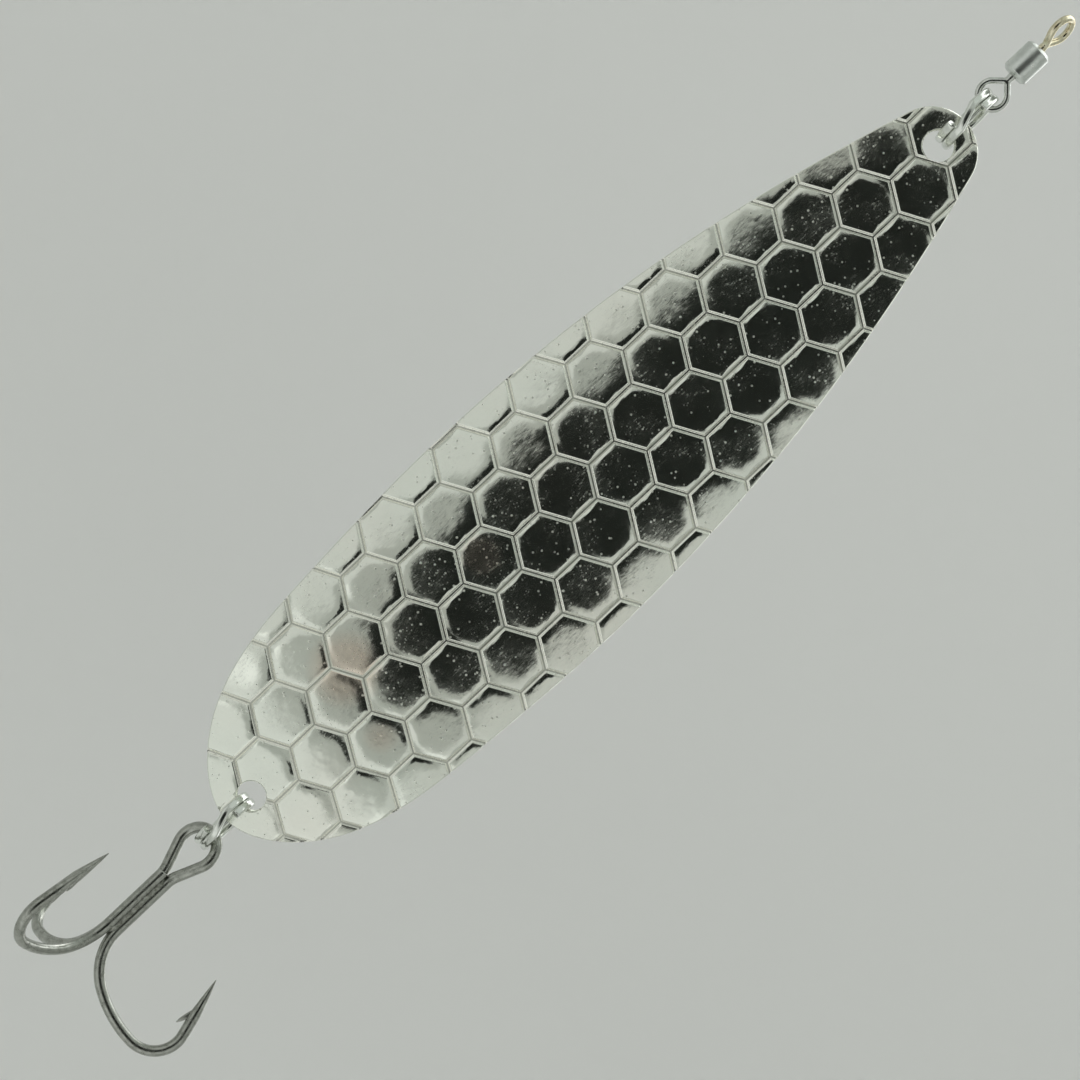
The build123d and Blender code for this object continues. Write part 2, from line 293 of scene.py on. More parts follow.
soft_box("left_box", (-1.0, -1.0, 0.0), 0.9, 1.9, 1.2)
soft_box("low_box", (0.1, -0.75, -0.9), 1.8, 0.7, 1.2)
soft_box("right_box", (1.05, -1.0, -0.1), 0.8, 1.7, 0.7)
soft_box("top_box", (0.2, 0.5, 1.35), 1.6, 1.6, 7)
soft_box("back_box", (0.9, 1.2, 0.5), 0.8, 1.6, 4)
soft_box("wall_wash", (0.0, 0.9, 1.5), 1.8, 0.6, 7.0, aim=(0, 2.3, -0.4))

sky = bpy.data.worlds.new("studio_air")
sky.use_nodes = True
sky.node_tree.nodes["Background"].inputs["Color"].default_value = AIR_COLOUR
sky.node_tree.nodes["Background"].inputs["Strength"].default_value = AIR_STRENGTH
bpy.context.scene.world = sky
bpy.context.scene.view_settings.view_transform = "Standard"

# %% [markdown]
# The black card is an oval that hides the pale room from the middle of the blade. Its size
# decides how many cells go dark: a cell stays dark while its mirror image of the studio
# falls on the card, and turns bright where the cupped blade looks past the card's edge.

# %% Black card round the camera
CARD_DISTANCE = 0.80
CARD_CENTRE = (0.08, -0.03)
CARD_HALF = (0.38, 0.37)
CARD_BLACK = (0.009, 0.011, 0.009)

card_form = bmesh.new()
bmesh.ops.create_circle(card_form, cap_ends=True, radius=1, segments=64)
bmesh.ops.scale(card_form, verts=card_form.verts[:], vec=(*CARD_HALF, 1))
bmesh.ops.rotate(
    card_form, verts=card_form.verts[:], cent=(0, 0, 0), matrix=Matrix.Rotation(pi / 2, 3, "X")
)
bmesh.ops.translate(
    card_form, verts=card_form.verts[:], vec=(CARD_CENTRE[0], -CARD_DISTANCE, CARD_CENTRE[1])
)
card = show(card_form, "black_card")
card.visible_camera = False
card.visible_shadow = False
card.data.materials.append(surface("black_flock", CARD_BLACK, 1.0, metallic=0.0)[0])

# %% [markdown]
# ## Finishes
#
# Nickel over brass on the blade is a mirror with faults. Rubbing marks all run one way, small
# pits and dust scatter light in the dark cells, and each struck face is a little dented. The
# walls of the grooves are given a brighter colour, which is painted highlight, and their bottom
# a dark one, which is painted shade. In a few cells the plate has turned pinkish brown. The
# back is brushed along its length.
#
# The mesh holds how deep each point lies in a groove, from 0 on a cell to 1 at the bottom,
# and -1 on the back. Every mask below is read from that number.


# %% Finish of the blade
NICKEL = (0.79, 0.82, 0.75, 1)
NICKEL_BLOOM = (0.83, 0.83, 0.76, 1)
TARNISH = (0.80, 0.62, 0.50, 1)
GROOVE_PAINTED_HIGHLIGHT = (0.97, 0.97, 0.90, 1)
GROOVE_PAINTED_SHADE = (0.36, 0.37, 0.32, 1)
GLOSS = 0.07
RELIEF = 0.012 * MM
SPECK_SPACING = 1.15 * MM
DUST_SPACING = 0.55 * MM
DENT_SIZE = 1.5 * MM
RUBBING_TURN = radians(-40)
WARM_CELLS = [(-2.1, 50.8, 3.2), (-4.0, 26.2, 6.0), (6.5, 23.3, 3.6)]


def tarnish_spots(signal):
    """1 in the middle of each warm cell, given as x, height above the tail and reach in mm."""
    spots = 0.0
    for across, above_tail, reach in WARM_CELLS:
        spot = (across * MM, blade_low.y, blade_low.z + above_tail * MM)
        away = signal.node(
            "VectorMath", {"operation": "DISTANCE"}, {0: place(signal), 1: spot}, "Value"
        )
        spots = (1 - away.ramp(0.6 * reach * MM, reach * MM)) + spots
    return spots


def blade_finish():
    material, shader, signal = surface("mirror_nickel", NICKEL[:3], GLOSS)
    depth = signal.node("Attribute", {"attribute_name": "groove"}, output="Fac")
    face = depth.ramp(-0.4, -0.1)
    wall = depth.ramp(0.05, 0.35)
    bottom = depth.ramp(0.86, 0.99)
    back = 1 - face

    bloom = grain(signal, 22 * MM, 2.0)
    warm = tarnish_spots(signal)
    plate = bloom.ramp(0.35, 0.7).blend(NICKEL, NICKEL_BLOOM)
    tarnished = (warm * bloom * face).blend(plate, TARNISH)
    # Painted highlight: the groove walls get a brighter colour in place of the light that they
    # mirror.
    painted_bright_walls = wall.blend(tarnished, GROOVE_PAINTED_HIGHLIGHT)
    # Painted shade: the bottom of each groove is darkened in colour.
    feed(shader, "Base Color", (bottom * 0.75).blend(painted_bright_walls, GROOVE_PAINTED_SHADE))

    rubbing = grain(signal, 0.30 * MM, stretch=(1, 1, 0.35), turn=(0, RUBBING_TURN, 0))
    scuffed = grain(signal, 5.0 * MM, 2.0).ramp(0.40, 0.68)
    speck = dots(signal, SPECK_SPACING, 0.07, 0.17)
    dust = dots(signal, DUST_SPACING, 0.08, 0.26) * (0.35 + 0.65 * scuffed)
    streaks = rubbing.ramp(0.56, 0.74) * (0.25 + 0.75 * scuffed)
    scattered = back * 0.15 + speck * 0.42 + dust * 0.24 + streaks * 0.18
    rough = GLOSS + rubbing * 0.06 + scuffed * 0.07 + wall * 0.14 + warm * 0.08 + scattered
    feed(shader, "Roughness", rough)

    brushed = grain(signal, 0.35 * MM, stretch=(1, 1, 0.06)) * back
    rubbed = rubbing * (0.25 + 0.75 * scuffed)
    dents = grain(signal, DENT_SIZE, 1.0)
    bumps(shader, speck * 0.9 + rubbed + dents * 2.0 + brushed * 1.5, RELIEF)
    return material


# %% [markdown]
# Wire that has been drawn through a die keeps faint lines and a soft sheen. Rings and loops
# are polished on top of that, hooks are tinned and stay duller and darker, and brazing metal
# cools rough. One function serves them all. It is given the light and the dark tone of the
# metal, its roughness, how large its patches are and how deep its relief is.


# %% Finish of wire
FINE_GRAIN = 0.12 * MM


def wire_finish(name, light, dark, roughness, mottle, relief):
    material, shader, signal = surface(name, light, roughness)
    patches = grain(signal, mottle, 5.0)
    fine = grain(signal, FINE_GRAIN)
    colour = patches.ramp(0.35, 0.68).blend((*light, 1), (*dark, 1))
    feed(shader, "Base Color", colour)
    feed(shader, "Roughness", roughness + patches.ramp(0.3, 0.8) * 0.14 + fine * 0.05)
    bumps(shader, patches * 0.7 + fine * 0.3, relief)
    return material


mirror_nickel = blade_finish()
hook_steel = wire_finish(
    "tinned_steel", (0.43, 0.44, 0.405), (0.29, 0.30, 0.27), 0.17, 0.9 * MM, 0.008 * MM
)
ring_steel = wire_finish(
    "polished_ring", (0.82, 0.84, 0.80), (0.66, 0.68, 0.64), 0.08, 1.4 * MM, 0.003 * MM
)
loop_nickel = wire_finish(
    "plated_loop", (0.74, 0.76, 0.73), (0.56, 0.57, 0.54), 0.10, 0.7 * MM, 0.003 * MM
)
loop_brass = wire_finish(
    "worn_brass_loop", (0.83, 0.79, 0.62), (0.60, 0.52, 0.34), 0.12, 0.8 * MM, 0.004 * MM
)
sleeve_nickel = wire_finish(
    "turned_sleeve", (0.74, 0.77, 0.74), (0.62, 0.65, 0.62), 0.24, 1.2 * MM, 0.003 * MM
)
braze_metal = wire_finish(
    "braze_metal", (0.42, 0.43, 0.39), (0.16, 0.165, 0.14), 0.38, 0.5 * MM, 0.05 * MM
)

# %% [markdown]
# ## Blade
#
# The blade is one stamped sheet: hexagons are pressed into its face, then it is cupped
# across its width and bent back at both ends. The same order works here. One hexagon is
# made flat, with the groove along its border and a low pillow in its middle, and copies of
# it tile the plane. Cells that cross the outline are cut along it. The tiled face gets a
# rounded edge and a plain back, and the finished flat blank is bent at the end.

# %% One hexagon
HEX_PITCH = 8.17 * MM
GROOVE_DEPTH = 0.24 * MM
SIDE_CUTS = 3
CELL_STEPS = [
    (0.09, -0.24), (0.20, -0.17), (0.31, -0.06), (0.42, 0.0), (0.66, 0.032),
    (0.92, 0.060), (1.20, 0.080), (1.55, 0.092), (2.10, 0.097), (2.80, 0.099),
]
STRUCK_FLAT = 0.75
STRUCK_DROP = 0.03 * MM
CUP_RADIUS = 55 * MM


def hexagon_cell():
    """One flat cell, face up, from the middle of its groove to the top of its pillow."""
    cell = bmesh.new()
    bmesh.ops.create_circle(cell, cap_ends=True, radius=HEX_PITCH / sqrt(3), segments=6)
    bmesh.ops.translate(cell, verts=cell.verts[:], vec=(0, 0, -GROOVE_DEPTH))
    top_face = cell.faces[:][0]
    if top_face.normal.z < 0:
        bmesh.ops.reverse_faces(cell, faces=[top_face])
    inset, height = 0.0, -GROOVE_DEPTH / MM
    for next_inset, next_height in CELL_STEPS:
        bmesh.ops.inset_individual(
            cell, faces=[top_face], thickness=(next_inset - inset) * MM,
            depth=(next_height - height) * MM, use_even_offset=True,
        )
        inset, height = next_inset, next_height
    round_edges = [
        edge for edge in cell.edges
        if abs(edge.verts[0].co.xy.length - edge.verts[1].co.xy.length) < 0.001 * MM
    ]
    bmesh.ops.subdivide_edges(cell, edges=round_edges, cuts=SIDE_CUTS)
    bmesh.ops.poke(cell, faces=[top_face])
    pillow = [vert for vert in cell.verts if vert.co.z > 0.01 * MM]
    soften(cell, pillow, 2)
    for vert in pillow:
        vert.co.z += STRUCK_FLAT * (vert.co.x ** 2 / (2 * CUP_RADIUS) - STRUCK_DROP)
    return cell


cell_mesh = bpy.data.meshes.new("cell")
hexagon_cell().to_mesh(cell_mesh)
print("faces in a cell:", len(cell_mesh.polygons))

# %% [markdown]
# The outline is taken from the CAD blade as it is seen from the front. The blank is flat, so
# each corner of the outline is first led back to where it was before the bending. The blade
# is convex all round, and its hull is therefore its outline. The bends are arcs: the cup runs
# across the whole blade, and each end leaves it on a larger arc of its own.

# %% Outline of the flat blank
THICKNESS = 1.1 * MM
TAIL_BEND = 50 * MM
TAIL_BEND_RADIUS = 170 * MM
NOSE_BEND = 30 * MM
NOSE_BEND_RADIUS = 300 * MM
EDGE_RADIUS = 0.2 * MM
SHORTEST_SIDE = 0.5 * MM

crown_radius = CUP_RADIUS + THICKNESS / 2
cup_middle = blade_low.y + crown_radius
tail_bend_z = blade_low.z + TAIL_BEND
nose_bend_z = blade_high.z - NOSE_BEND


def crown_y(x, height=0.0):
    """Where the cupped face is, front to back, before the ends are bent."""
    return cup_middle - (crown_radius + height) * cos(asin(x / crown_radius))


def bent(x, z, height):
    """Takes a point of the flat blank, with its height off the crown, to the bent blade."""
    across = (crown_radius + height) * x / crown_radius
    deep = crown_y(x, height)
    for limit, radius, way in (
        (tail_bend_z, TAIL_BEND_RADIUS, -1), (nose_bend_z, NOSE_BEND_RADIUS, 1)
    ):
        past = (z - limit) * way
        if past > 0:
            centre_y = cup_middle - CUP_RADIUS + radius
            turn = past / radius
            z = limit + way * (centre_y - deep) * sin(turn)
            deep = centre_y - (centre_y - deep) * cos(turn)
            break
    return Vector((across, deep, z))


def unbent(x, z):
    """Takes a point of the finished outline, seen from the front, back to the flat blank."""
    for limit, radius, way in (
        (tail_bend_z, TAIL_BEND_RADIUS, -1), (nose_bend_z, NOSE_BEND_RADIUS, 1)
    ):
        past = (z - limit) * way
        if past > 0:
            centre_y = cup_middle - CUP_RADIUS + radius
            return Vector((x, limit + way * radius * asin(past / (centre_y - crown_y(x)))))
    return Vector((x, z))


seen = [Vector((v.co.x, v.co.z)) for v in frame["nodes"]["spoon_blade"].data.vertices]
outline = []
for index in convex_hull_2d(seen):
    corner = unbent(*seen[index])
    if not outline or (corner - outline[-1]).length > SHORTEST_SIDE:
        outline.append(corner)
area = sum(a.x * b.y - a.y * b.x for a, b in zip(outline, outline[1:] + outline[:1])) / 2
if area < 0:
    outline.reverse()
sides = [
    (start, Vector(((end - start).y, -(end - start).x)).normalized())
    for start, end in zip(outline, outline[1:] + outline[:1])
]
print("sides of the outline:", len(sides), "area, mm2:", round(abs(area) / MM**2))

# %% [markdown]
# The rows of hexagons start a set distance below the nose hole, because the die strikes both
# the pattern and the hole's mark. No two cells of a struck sheet mirror the room alike, so
# the middle of each is tilted a little by chance, from a fixed seed. A cell that crosses the
# outline is cut along every side it crosses.

# %% Tile the outline with cells
LATTICE_ACROSS = 2.9 * MM
LATTICE_BELOW_HOLE = 5.67 * MM
PILLOW_TILT = 0.7
TILT_MARGIN = 0.4 * MM
TILT_RISE = 2.5
ROWS = 24
COLUMNS = 5

nose_hole = Vector(joints["blade_swing"]["pos_m"])
row_pitch = HEX_PITCH * sqrt(3) / 2
cell_reach = HEX_PITCH / sqrt(3)
chance = random.Random(7)
face_form = bmesh.new()
cells = 0
for row in range(-2, ROWS):
    for column in range(-COLUMNS, COLUMNS + 1):
        centre = Vector((
            LATTICE_ACROSS + (column - 0.5 * (row % 2)) * HEX_PITCH,
            nose_hole.z - LATTICE_BELOW_HOLE - row * row_pitch,
        ))
        off = [(centre - start).dot(outward) + EDGE_RADIUS for start, outward in sides]
        if max(off) > cell_reach:
            continue
        one = bmesh.new()
        one.from_mesh(cell_mesh)
        tilt = Vector((chance.uniform(-1, 1), chance.uniform(-1, 1))) * radians(PILLOW_TILT)
        for vert in one.verts:
            share = 1 - vert.co.xy.length / (HEX_PITCH / 2 - TILT_MARGIN)
            if share > 0:
                vert.co.z += vert.co.xy.dot(tilt) * min(1, TILT_RISE * share)
        bmesh.ops.translate(one, verts=one.verts[:], vec=(*centre, 0))
        for distance, (start, outward) in zip(off, sides):
            if distance > -cell_reach:
                bmesh.ops.bisect_plane(
                    one, geom=one.verts[:] + one.edges[:] + one.faces[:], dist=1e-8,
                    plane_co=(*(start - outward * EDGE_RADIUS), 0), plane_no=(*outward, 0),
                    clear_outer=True,
                )
        if one.faces:
            cut_cell = bpy.data.meshes.new("cut_cell")
            one.to_mesh(cut_cell)
            face_form.from_mesh(cut_cell)
            bpy.data.meshes.remove(cut_cell)
            cells += 1
        one.free()
bmesh.ops.remove_doubles(face_form, verts=face_form.verts[:], dist=0.002 * MM)
rim = [edge for edge in face_form.edges if edge.is_boundary]
print("cells:", cells, "faces:", len(face_form.faces), "edges on the rim:", len(rim))

# %% [markdown]
# Shearing leaves a sharp edge, which tumbling rounds off. The rim of the tiled face is
# extruded in small steps along a quarter circle, down the side and round to the back, and
# the back is filled. The grooves that run out over the rim fade within the first steps. The
# back is then cut by a grid, so that it has enough points to follow the bends.

# %% Edge and back of the blank
ROUND_STEPS = 3
BACK_SPACING = 2.5 * MM
SPINE_ABOVE_TAIL = 15 * MM
SPINE_BELOW_NOSE = 6 * MM

quarter = [pi / 2 * step / ROUND_STEPS for step in range(ROUND_STEPS + 1)]
edge_steps = [
    (EDGE_RADIUS * sin(turn), -EDGE_RADIUS * (1 - cos(turn)), cos(turn) ** 2)
    for turn in quarter
] + [
    (EDGE_RADIUS * cos(turn), EDGE_RADIUS * (1 - sin(turn)) - THICKNESS, 0)
    for turn in quarter
]
spine_low = blade_low.z + SPINE_ABOVE_TAIL
spine_high = blade_high.z - SPINE_BELOW_NOSE


def outward_at(vert, edges):
    """The level direction away from the blade at a point of its rim."""
    along = Vector((0, 0))
    for edge in vert.link_edges:
        if edge in edges:
            way = (edge.other_vert(vert).co - vert.co).xy.normalized()
            along += way if along.dot(way) >= 0 and along.length == 0 else -way
    across = Vector((along.y, -along.x)).normalized()
    spine = Vector((0, min(max(vert.co.y, spine_low), spine_high)))
    return across if across.dot(vert.co.xy - spine) > 0 else -across


for (out, level, keep), (next_out, next_level, next_keep) in zip(edge_steps, edge_steps[1:]):
    grown = bmesh.ops.extrude_edge_only(face_form, edges=rim)["geom"]
    rim = {part for part in grown if isinstance(part, bmesh.types.BMEdge)}
    rim = {edge for edge in rim if edge.is_boundary}
    moved = {vert for edge in rim for vert in edge.verts}
    ways = {vert: outward_at(vert, rim) for vert in moved}
    for vert, way in ways.items():
        own = (vert.co.z - level) / keep if keep > 0.01 else 0.0
        vert.co.xy += way * (next_out - out)
        vert.co.z = next_level + own * next_keep
    rim = list(rim)
bmesh.ops.holes_fill(face_form, edges=rim, sides=0)
back_level = edge_steps[-1][1]


def back_parts():
    """Everything that lies flat in the back of the blank."""
    faces = [f for f in face_form.faces if all(v.co.z < back_level + 1e-7 for v in f.verts)]
    edges = {edge for face in faces for edge in face.edges}
    verts = {vert for face in faces for vert in face.verts}
    return faces + list(edges) + list(verts)


for axis, low, high in ((0, -blade_high.x, blade_high.x), (1, blade_low.z, blade_high.z)):
    for step in range(1, int((high - low) / BACK_SPACING)):
        cut_at = [0, 0, 0]
        cut_at[axis] = low + step * BACK_SPACING
        normal = [0, 0, 0]
        normal[axis] = 1
        bmesh.ops.bisect_plane(
            face_form, geom=back_parts(), dist=1e-7, plane_co=cut_at, plane_no=normal
        )
bmesh.ops.recalc_face_normals(face_form, faces=face_form.faces[:])
open_edges = sum(not edge.is_manifold for edge in face_form.edges)
print("blank: faces", len(face_form.faces), "open edges", open_edges)

# %% [markdown]
# The press bends the whole blank at once. Every point is led to its place on the cup and
# then on the arc of its end, with its height above the crown kept, so the thickness and the
# pattern stay as they were struck. Before it moves, its depth is noted for the finish.

# %% Bend the blank
groove_layer = face_form.verts.layers.float.new("groove")
for vert in face_form.verts:
    flat_height = vert.co.z
    on_face = flat_height > -GROOVE_DEPTH - 1e-6
    vert[groove_layer] = min(1.0, max(0.0, -flat_height / GROOVE_DEPTH)) if on_face else -1.0
    vert.co = bent(vert.co.x, vert.co.y, flat_height)
for face in face_form.faces:
    face.smooth = True
blade = show(face_form, "embossed_blade")
blade.data.materials.append(mirror_nickel)

# %% [markdown]
# The two holes are punched through after the embossing, so their edges run across grooves
# and cells alike. A turned cutter with flared ends leaves each rim rounded, and an exact
# boolean makes the cut.

# %% Punch the two holes
RIM_RADIUS = 0.25 * MM
NOSE_HOLE_RADIUS = 2.17 * MM
TAIL_HOLE_RADIUS = 2.1 * MM
TAIL_HOLE_INSET = 5.06 * MM
RIM_STEPS = 5
BLADE_CREASE = 12


def boolean(piece, form, operation, crossing=False, sharp=50):
    """Cuts a form out of a piece, or unites them; crossing says that it crosses itself."""
    tool = show(form, "tool")
    form.free()
    modifier = piece.modifiers.new("boolean", "BOOLEAN")
    modifier.operation = operation
    modifier.solver = "EXACT"
    modifier.use_self = crossing
    modifier.object = tool
    evaluated = piece.evaluated_get(bpy.context.evaluated_depsgraph_get())
    material = piece.data.materials[0]
    made = bpy.data.meshes.new_from_object(evaluated)
    piece.modifiers.clear()
    piece.data = made
    bpy.data.objects.remove(tool)
    made.materials.clear()
    made.materials.append(material)
    for face in made.polygons:
        face.use_smooth = True
        face.material_index = 0
    made.set_sharp_from_angle(angle=radians(sharp))


def hole_cutter(radius):
    """A round cutter along Z whose ends flare where they leave the sheet."""
    form = bmesh.new()
    flare = radius + RIM_RADIUS
    face_at = THICKNESS / 2
    chain = [form.verts.new((0, 0, -2 * THICKNESS)), form.verts.new((flare, 0, -2 * THICKNESS))]
    for step in range(RIM_STEPS + 1):
        turn = pi / 2 * step / RIM_STEPS
        out = flare - RIM_RADIUS * sin(turn)
        chain.append(form.verts.new((out, 0, -face_at + RIM_RADIUS * (1 - cos(turn)))))
    for step in range(RIM_STEPS + 1):
        turn = pi / 2 * (1 - step / RIM_STEPS)
        out = flare - RIM_RADIUS * sin(turn)
        chain.append(form.verts.new((out, 0, face_at - RIM_RADIUS * (1 - cos(turn)))))
    chain += [form.verts.new((flare, 0, 2 * THICKNESS)), form.verts.new((0, 0, 2 * THICKNESS))]
    edges = [form.edges.new(pair) for pair in zip(chain, chain[1:])]
    bmesh.ops.spin(
        form, geom=chain + edges, cent=(0, 0, 0), axis=(0, 0, 1), angle=2 * pi, steps=64,
        use_merge=True,
    )
    bmesh.ops.remove_doubles(form, verts=form.verts[:], dist=0.001 * MM)
    bmesh.ops.recalc_face_normals(form, faces=form.faces[:])
    return form


tail_fall = asin((TAIL_BEND - TAIL_HOLE_INSET) / TAIL_BEND_RADIUS)
tail_hole = Vector((
    0, cup_middle - CUP_RADIUS + TAIL_BEND_RADIUS * (1 - cos(tail_fall)),
    blade_low.z + TAIL_HOLE_INSET,
))
nose_rise = asin((nose_hole.z - nose_bend_z) / NOSE_BEND_RADIUS)
for hole, tilt, radius in (
    (nose_hole, nose_rise, NOSE_HOLE_RADIUS), (tail_hole, -tail_fall, TAIL_HOLE_RADIUS)
):
    form = hole_cutter(radius)
    stand = Matrix.Translation(hole) @ Matrix.Rotation(pi / 2 - tilt, 4, "X")
    bmesh.ops.transform(form, matrix=stand, verts=form.verts[:])
    boolean(blade, form, "DIFFERENCE", sharp=BLADE_CREASE)
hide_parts("spoon_blade")
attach(blade, "blade")
print("blade: faces", len(blade.data.polygons))

# %% [markdown]
# ## Wire
#
# Rings, loops and hooks are all bent from wire, so one helper bends them all. It holds a
# round or flattened section, a loop of edges, and carries it along straight runs and arcs
# as a wire bender feeds wire past its pins: a run is an extrusion, a bend is a spin about
# the pin. The ends are filled when the piece is cut off.


# %% The wire bender
class Wire:
    """A section of wire that is fed along runs and bends, inside one bmesh."""

    def __init__(self, form, start, heading, side, width, depth, corner, corner_steps=4):
        self.form = form
        self.at = Vector(start)
        self.heading = Vector(heading).normalized()
        before = set(form.verts)
        bmesh.ops.create_grid(form, x_segments=1, y_segments=1, size=0.5)
        verts = [vert for vert in form.verts if vert not in before]
        bmesh.ops.scale(form, verts=verts, vec=(width, depth, 1))
        bmesh.ops.bevel(
            form, geom=verts, offset=corner, segments=corner_steps, profile=0.5,
            affect="VERTICES", material=-1,
        )
        verts = [vert for vert in form.verts if vert not in before]
        side = Vector(side).normalized()
        stand = Matrix((side, self.heading.cross(side), self.heading)).transposed().to_4x4()
        bmesh.ops.transform(form, matrix=Matrix.Translation(self.at) @ stand, verts=verts)
        cap = list({face for vert in verts for face in vert.link_faces})
        self.ring = list({edge for vert in verts for edge in vert.link_edges})
        bmesh.ops.delete(form, geom=cap, context="FACES_ONLY")
        self.first = list(self.ring)

    def verts(self):
        """The points of the last section."""
        return list({vert for edge in self.ring for vert in edge.verts})

    def bend(self, pin_side, radius, angle, steps, climb=(0, 0, 0)):
        """An arc about a pin that stands at a radius on one side of the wire."""
        pin_side = Vector(pin_side).normalized()
        axis = self.heading.cross(pin_side)
        pin = self.at + pin_side * radius
        turned = bmesh.ops.spin(
            self.form, geom=self.ring + self.verts(), cent=pin, axis=axis, angle=angle,
            dvec=Vector(climb) / steps, steps=steps, use_merge=False, use_normal_flip=False,
            use_duplicate=False,
        )["geom_last"]
        self.ring = [part for part in turned if isinstance(part, bmesh.types.BMEdge)]
        turn = Matrix.Rotation(angle, 3, axis)
        self.at = pin + turn @ (self.at - pin) + Vector(climb)
        self.heading = turn @ self.heading
        return turn @ pin_side

    def run(self, length, steps=1, taper=1.0):
        """A straight run, whose section is scaled by taper by its end."""
        for _ in range(steps):
            grown = bmesh.ops.extrude_edge_only(self.form, edges=self.ring)["geom"]
            verts = [part for part in grown if isinstance(part, bmesh.types.BMVert)]
            edges = [part for part in grown if isinstance(part, bmesh.types.BMEdge)]
            self.ring = [edge for edge in edges if edge.is_boundary]
            shift = self.heading * length / steps
            bmesh.ops.translate(self.form, verts=verts, vec=shift)
            self.at += shift
            size = taper ** (1 / steps)
            bmesh.ops.scale(
                self.form, verts=verts, vec=(size, size, size),
                space=Matrix.Translation(-self.at),
            )


def finish_form(form, name, node, body, material, sharp=50):
    """Closes a form, turns it outwards and makes it a piece that stands for a CAD node."""
    bmesh.ops.remove_doubles(form, verts=form.verts[:], dist=0.0005 * MM)
    cap(form)
    bmesh.ops.recalc_face_normals(form, faces=form.faces[:])
    for face in form.faces:
        face.smooth = True
    piece = show(form, name)
    piece.data.set_sharp_from_angle(angle=radians(sharp))
    piece.data.materials.append(material)
    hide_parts(node)
    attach(piece, body)
    open_edges = sum(not edge.is_manifold for edge in form.edges)
    print(f"{name}: faces {len(form.faces)}, open edges {open_edges}, mm",
          [round(side / MM, 2) for corner in box_of(form) for side in corner])
    return piece


def box_of(form):
    """The lowest and highest corners of a form."""
    return [
        [pick(vert.co[axis] for vert in form.verts) for axis in range(3)] for pick in (min, max)
    ]


# %% [markdown]
# Where wires meet in a weld or in brazing metal, the metal has flowed and no crease is left.
# Two forms united by a boolean still have one, so such a piece is made anew from small even
# faces, and these are smoothed a few times.


# %% Welding
WELD_GRAIN = 0.06 * MM
WELD_PASSES = 6


def weld(piece):
    """Melts a piece's crossing parts into one skin and softens the corners between them."""
    modifier = piece.modifiers.new("weld", "REMESH")
    modifier.mode = "VOXEL"
    modifier.voxel_size = WELD_GRAIN
    evaluated = piece.evaluated_get(bpy.context.evaluated_depsgraph_get())
    form = bmesh.new()
    form.from_mesh(evaluated.to_mesh())
    piece.modifiers.clear()
    soften(form, form.verts[:], WELD_PASSES)
    for face in form.faces:
        face.smooth = True
    form.to_mesh(piece.data)
    open_edges = sum(not edge.is_manifold for edge in form.edges)
    print(piece.name, "welded: faces", len(form.faces), "open edges", open_edges)
    form.free()


# %% [markdown]
# ## Split rings
#
# A split ring is flattened wire wound nearly twice round, so that two coils lie side by
# side. Between them the wire steps across in a short jog. Three bends make it: one coil,
# the jog, whose bend also climbs sideways, and the other coil. The cut ends stay square,
# with their edges broken by a small bevel.

# %% Split rings
NOSE_RING_WIRE = (1.45 * MM, 1.2 * MM)
TAIL_RING_WIRE = (1.3 * MM, 1.14 * MM)
COIL_STEPS = 110
JOG_STEPS = 10
RING_TURN = radians(4)
COIL_SWEEP = radians(308)
JOG_SWEEP = radians(45)
JOG_START = radians(160)
COIL_GAP = 0.06 * MM
EDGE_SHARE = 0.36
END_BEVEL = 0.10 * MM


def split_ring(name, node, body, centre, wire_radial, wire_axial):
    """A ring of two coils of flat wire, whose two sizes are across the ring and along it."""
    low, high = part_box(node)
    radius = (high.z - low.z - wire_radial) / 2
    pitch = wire_axial + COIL_GAP
    ring_axis = Vector((cos(RING_TURN), -sin(RING_TURN), 0))
    back = UP.cross(ring_axis)
    start = JOG_START - COIL_SWEEP
    outward = back * cos(start) + UP * sin(start)
    heading = UP * cos(start) - back * sin(start)
    form = bmesh.new()
    wire = Wire(
        form, centre + outward * radius - ring_axis * pitch / 2, heading, ring_axis,
        wire_axial, wire_radial, EDGE_SHARE * wire_axial, corner_steps=6,
    )
    inward = wire.bend(-outward, radius, COIL_SWEEP, COIL_STEPS)
    inward = wire.bend(inward, radius, JOG_SWEEP, JOG_STEPS, climb=ring_axis * pitch)
    wire.bend(inward, radius, COIL_SWEEP, COIL_STEPS)
    bmesh.ops.bevel(
        form, geom=cap(form), offset=END_BEVEL, segments=2, profile=0.5, affect="EDGES", material=-1
    )
    return finish_form(form, name, node, body, ring_steel)


nose_ring_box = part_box("nose_split_ring")
tail_ring_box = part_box("tail_split_ring")
tail_ring_centre = Vector(joints["tail_ring_swing"]["pos_m"])
tail_ring_centre.z = (tail_ring_box[0].z + tail_ring_box[1].z) / 2
nose_ring_centre = Vector((0, 0, (nose_ring_box[0].z + nose_ring_box[1].z) / 2))
split_ring("nose_ring_wire", "nose_split_ring", "nose_ring", nose_ring_centre, *NOSE_RING_WIRE)
split_ring("tail_ring_wire", "tail_split_ring", "tail_ring", tail_ring_centre, *TAIL_RING_WIRE)

# %% [markdown]
# ## Treble hook
#
# Two of the three points are the ends of one wire: it is bent at its middle into the eye,
# both legs run down side by side, and each is bent up into its own hook. The third hook is
# a single wire laid in the valley between the two shanks. Starting two wires back to back
# at the top of the eye, and feeding each through the same bends, keeps it one piece.

